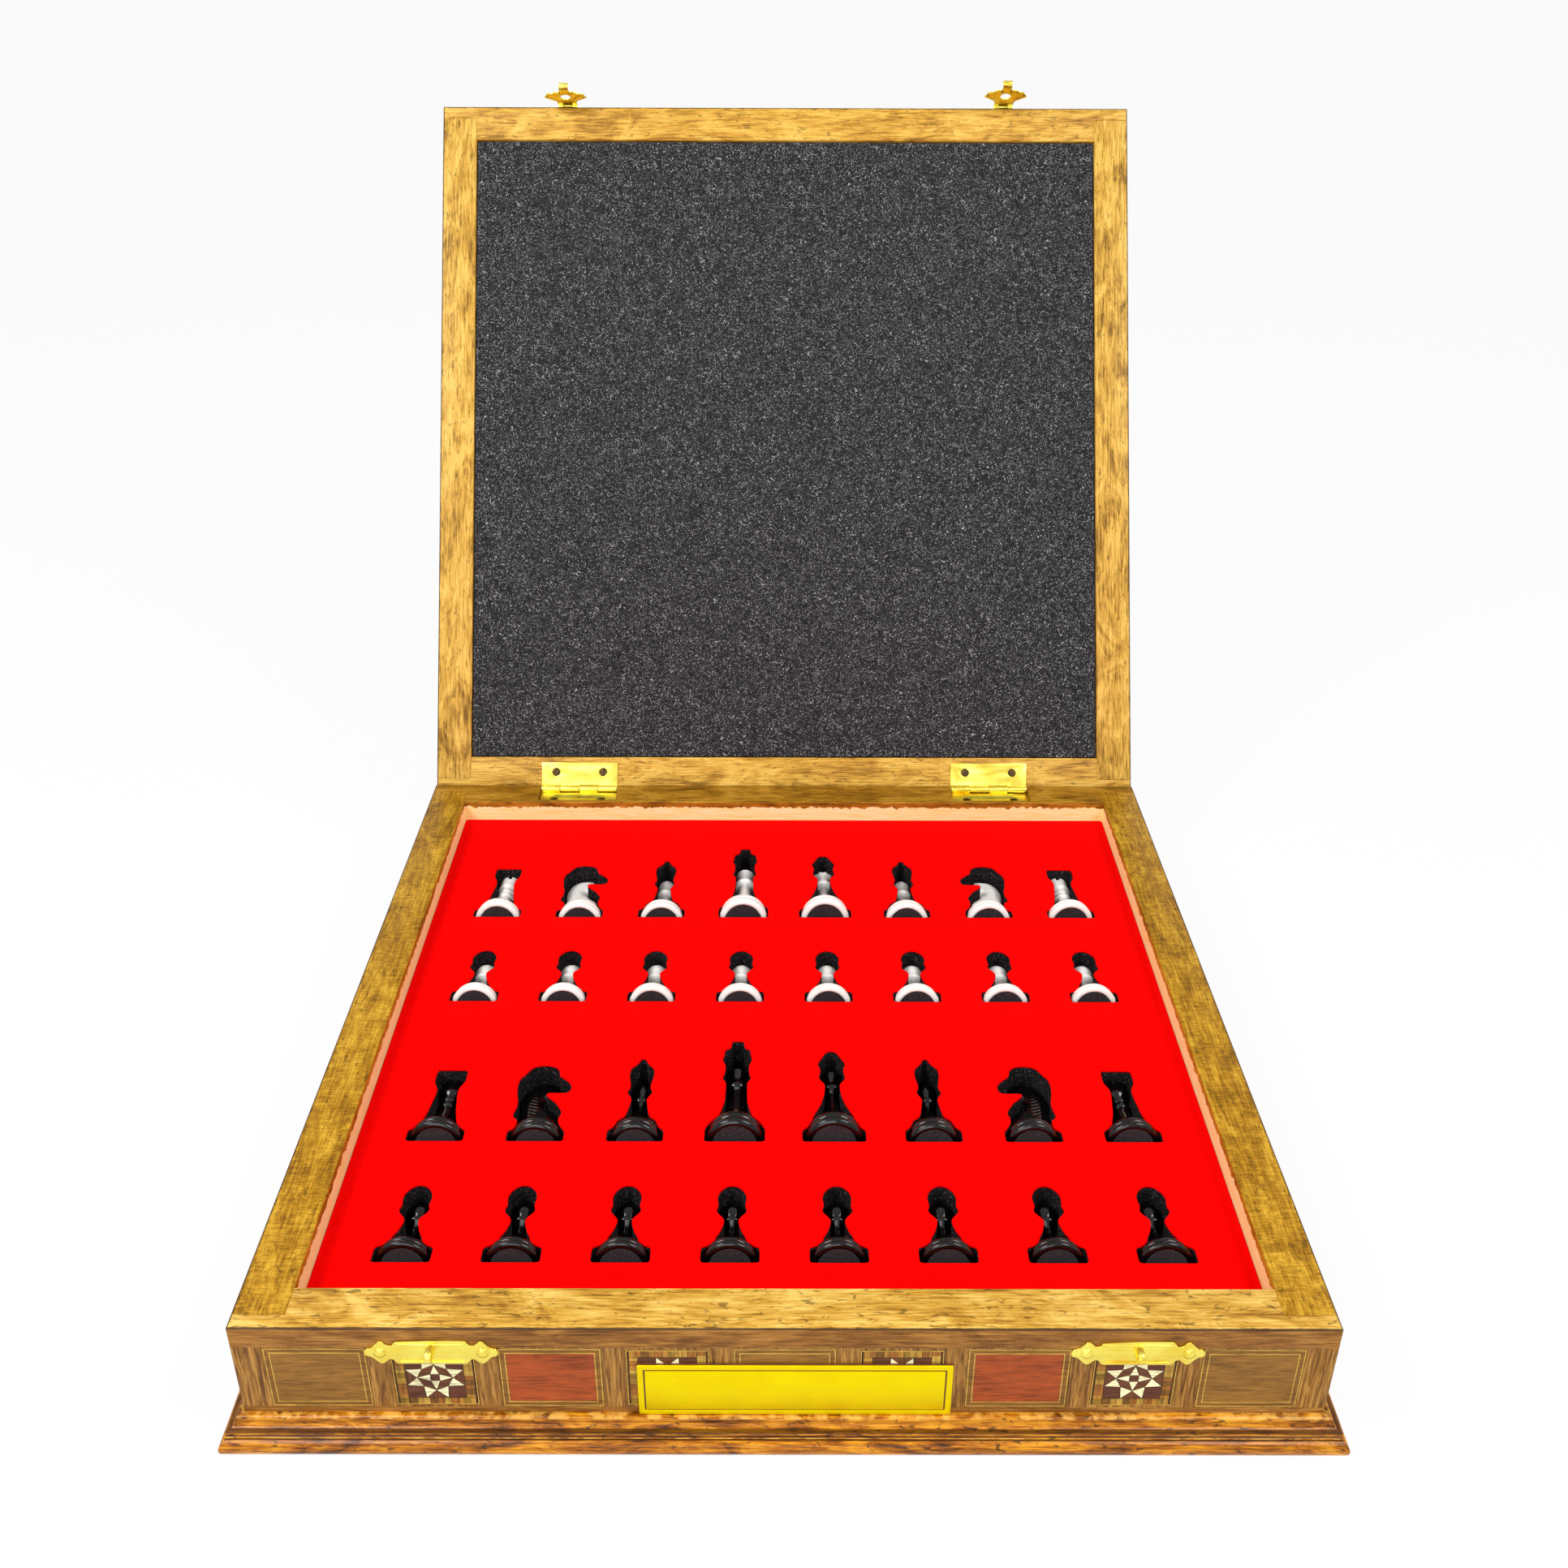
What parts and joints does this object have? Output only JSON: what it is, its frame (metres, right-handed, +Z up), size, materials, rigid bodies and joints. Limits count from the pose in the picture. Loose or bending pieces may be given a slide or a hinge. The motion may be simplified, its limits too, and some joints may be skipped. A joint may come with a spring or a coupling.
{
  "type": "chess set case",
  "caption": "Square wooden chess box with moulded plinth, brass-hinged lid with hasps, and a foam tray whose cut-outs hold a full set of chessmen.",
  "frame": {"origin": "centre of the case's underside, on the surface that it stands on", "axes": "+Z up, -Y towards the front with the catches and the nameplate, +X to the right seen from the front; the lid is hinged at +Y"},
  "size_m": [0.3654, 0.557, 0.3625],
  "materials": {
    "stained_wood": "satin",
    "dark_wood": "satin",
    "bare_wood": "matte",
    "marquetry": "gloss",
    "brass": "polished",
    "plate_brass": "satin",
    "black_foam": "matte",
    "red_liner": "matte",
    "white_plastic": "gloss",
    "black_plastic": "gloss"
  },
  "bodies": {
    "case": {"case_front": "stained_wood", "case_back": "stained_wood", "case_left": "stained_wood", "case_right": "stained_wood", "case_bottom": "bare_wood", "plinth_front": "dark_wood", "plinth_back": "dark_wood", "plinth_left": "dark_wood", "plinth_right": "dark_wood", "tray_foam": "black_foam", "tray_liner": "red_liner", "nameplate": "plate_brass", "latch_plates": "brass", "case_marquetry": "marquetry", "hinge_case_leaves": "brass", "hinge_pins": "brass"},
    "lid": {"lid_front": "stained_wood", "lid_back": "stained_wood", "lid_left": "stained_wood", "lid_right": "stained_wood", "chessboard_panel": "stained_wood", "board_squares": "marquetry", "lid_foam": "black_foam", "hinge_lid_leaves": "brass", "hasp_leaves": "brass"},
    "hasp_left": {"hasp_left": "brass"},
    "hasp_right": {"hasp_right": "brass"},
    "white_rook_left": {"white_rook_left": "white_plastic"},
    "white_knight_left": {"white_knight_left": "white_plastic"},
    "white_bishop_left": {"white_bishop_left": "white_plastic"},
    "white_king": {"white_king": "white_plastic"},
    "white_queen": {"white_queen": "white_plastic"},
    "white_bishop_right": {"white_bishop_right": "white_plastic"},
    "white_knight_right": {"white_knight_right": "white_plastic"},
    "white_rook_right": {"white_rook_right": "white_plastic"},
    "white_pawn_1": {"white_pawn_1": "white_plastic"},
    "white_pawn_2": {"white_pawn_2": "white_plastic"},
    "white_pawn_3": {"white_pawn_3": "white_plastic"},
    "white_pawn_4": {"white_pawn_4": "white_plastic"},
    "white_pawn_5": {"white_pawn_5": "white_plastic"},
    "white_pawn_6": {"white_pawn_6": "white_plastic"},
    "white_pawn_7": {"white_pawn_7": "white_plastic"},
    "white_pawn_8": {"white_pawn_8": "white_plastic"},
    "black_rook_left": {"black_rook_left": "black_plastic"},
    "black_knight_left": {"black_knight_left": "black_plastic"},
    "black_bishop_left": {"black_bishop_left": "black_plastic"},
    "black_king": {"black_king": "black_plastic"},
    "black_queen": {"black_queen": "black_plastic"},
    "black_bishop_right": {"black_bishop_right": "black_plastic"},
    "black_knight_right": {"black_knight_right": "black_plastic"},
    "black_rook_right": {"black_rook_right": "black_plastic"},
    "black_pawn_1": {"black_pawn_1": "black_plastic"},
    "black_pawn_2": {"black_pawn_2": "black_plastic"},
    "black_pawn_3": {"black_pawn_3": "black_plastic"},
    "black_pawn_4": {"black_pawn_4": "black_plastic"},
    "black_pawn_5": {"black_pawn_5": "black_plastic"},
    "black_pawn_6": {"black_pawn_6": "black_plastic"},
    "black_pawn_7": {"black_pawn_7": "black_plastic"},
    "black_pawn_8": {"black_pawn_8": "black_plastic"}
  },
  "joints": [
    {"name": "lid_hinge", "type": "hinge", "parent": "case", "child": "lid", "pos_m": [0, 0.1741, 0.04795], "axis": [-1, 0, 0], "range_deg": [-121, 0]},
    {"name": "hasp_left_hinge", "type": "hinge", "parent": "lid", "child": "hasp_left", "pos_m": [-0.1115, 0.35766, 0.34656], "axis": [-1, 0, 0], "range_deg": [0, 170]},
    {"name": "hasp_right_hinge", "type": "hinge", "parent": "lid", "child": "hasp_right", "pos_m": [0.1115, 0.35766, 0.34656], "axis": [-1, 0, 0], "range_deg": [-6, 164]},
    {"name": "white_rook_left_lift", "type": "slide", "parent": "case", "child": "white_rook_left", "axis": [0, 0, 1], "range_m": [0, 0.05]},
    {"name": "white_knight_left_lift", "type": "slide", "parent": "case", "child": "white_knight_left", "axis": [0, 0, 1], "range_m": [0, 0.05]},
    {"name": "white_bishop_left_lift", "type": "slide", "parent": "case", "child": "white_bishop_left", "axis": [0, 0, 1], "range_m": [0, 0.05]},
    {"name": "white_king_lift", "type": "slide", "parent": "case", "child": "white_king", "axis": [0, 0, 1], "range_m": [0, 0.05]},
    {"name": "white_queen_lift", "type": "slide", "parent": "case", "child": "white_queen", "axis": [0, 0, 1], "range_m": [0, 0.05]},
    {"name": "white_bishop_right_lift", "type": "slide", "parent": "case", "child": "white_bishop_right", "axis": [0, 0, 1], "range_m": [0, 0.05]},
    {"name": "white_knight_right_lift", "type": "slide", "parent": "case", "child": "white_knight_right", "axis": [0, 0, 1], "range_m": [0, 0.05]},
    {"name": "white_rook_right_lift", "type": "slide", "parent": "case", "child": "white_rook_right", "axis": [0, 0, 1], "range_m": [0, 0.05]},
    {"name": "white_pawn_1_lift", "type": "slide", "parent": "case", "child": "white_pawn_1", "axis": [0, 0, 1], "range_m": [0, 0.05]},
    {"name": "white_pawn_2_lift", "type": "slide", "parent": "case", "child": "white_pawn_2", "axis": [0, 0, 1], "range_m": [0, 0.05]},
    {"name": "white_pawn_3_lift", "type": "slide", "parent": "case", "child": "white_pawn_3", "axis": [0, 0, 1], "range_m": [0, 0.05]},
    {"name": "white_pawn_4_lift", "type": "slide", "parent": "case", "child": "white_pawn_4", "axis": [0, 0, 1], "range_m": [0, 0.05]},
    {"name": "white_pawn_5_lift", "type": "slide", "parent": "case", "child": "white_pawn_5", "axis": [0, 0, 1], "range_m": [0, 0.05]},
    {"name": "white_pawn_6_lift", "type": "slide", "parent": "case", "child": "white_pawn_6", "axis": [0, 0, 1], "range_m": [0, 0.05]},
    {"name": "white_pawn_7_lift", "type": "slide", "parent": "case", "child": "white_pawn_7", "axis": [0, 0, 1], "range_m": [0, 0.05]},
    {"name": "white_pawn_8_lift", "type": "slide", "parent": "case", "child": "white_pawn_8", "axis": [0, 0, 1], "range_m": [0, 0.05]},
    {"name": "black_rook_left_lift", "type": "slide", "parent": "case", "child": "black_rook_left", "axis": [0, 0, 1], "range_m": [0, 0.05]},
    {"name": "black_knight_left_lift", "type": "slide", "parent": "case", "child": "black_knight_left", "axis": [0, 0, 1], "range_m": [0, 0.05]},
    {"name": "black_bishop_left_lift", "type": "slide", "parent": "case", "child": "black_bishop_left", "axis": [0, 0, 1], "range_m": [0, 0.05]},
    {"name": "black_king_lift", "type": "slide", "parent": "case", "child": "black_king", "axis": [0, 0, 1], "range_m": [0, 0.05]},
    {"name": "black_queen_lift", "type": "slide", "parent": "case", "child": "black_queen", "axis": [0, 0, 1], "range_m": [0, 0.05]},
    {"name": "black_bishop_right_lift", "type": "slide", "parent": "case", "child": "black_bishop_right", "axis": [0, 0, 1], "range_m": [0, 0.05]},
    {"name": "black_knight_right_lift", "type": "slide", "parent": "case", "child": "black_knight_right", "axis": [0, 0, 1], "range_m": [0, 0.05]},
    {"name": "black_rook_right_lift", "type": "slide", "parent": "case", "child": "black_rook_right", "axis": [0, 0, 1], "range_m": [0, 0.05]},
    {"name": "black_pawn_1_lift", "type": "slide", "parent": "case", "child": "black_pawn_1", "axis": [0, 0, 1], "range_m": [0, 0.05]},
    {"name": "black_pawn_2_lift", "type": "slide", "parent": "case", "child": "black_pawn_2", "axis": [0, 0, 1], "range_m": [0, 0.05]},
    {"name": "black_pawn_3_lift", "type": "slide", "parent": "case", "child": "black_pawn_3", "axis": [0, 0, 1], "range_m": [0, 0.05]},
    {"name": "black_pawn_4_lift", "type": "slide", "parent": "case", "child": "black_pawn_4", "axis": [0, 0, 1], "range_m": [0, 0.05]},
    {"name": "black_pawn_5_lift", "type": "slide", "parent": "case", "child": "black_pawn_5", "axis": [0, 0, 1], "range_m": [0, 0.05]},
    {"name": "black_pawn_6_lift", "type": "slide", "parent": "case", "child": "black_pawn_6", "axis": [0, 0, 1], "range_m": [0, 0.05]},
    {"name": "black_pawn_7_lift", "type": "slide", "parent": "case", "child": "black_pawn_7", "axis": [0, 0, 1], "range_m": [0, 0.05]},
    {"name": "black_pawn_8_lift", "type": "slide", "parent": "case", "child": "black_pawn_8", "axis": [0, 0, 1], "range_m": [0, 0.05]}
  ]
}
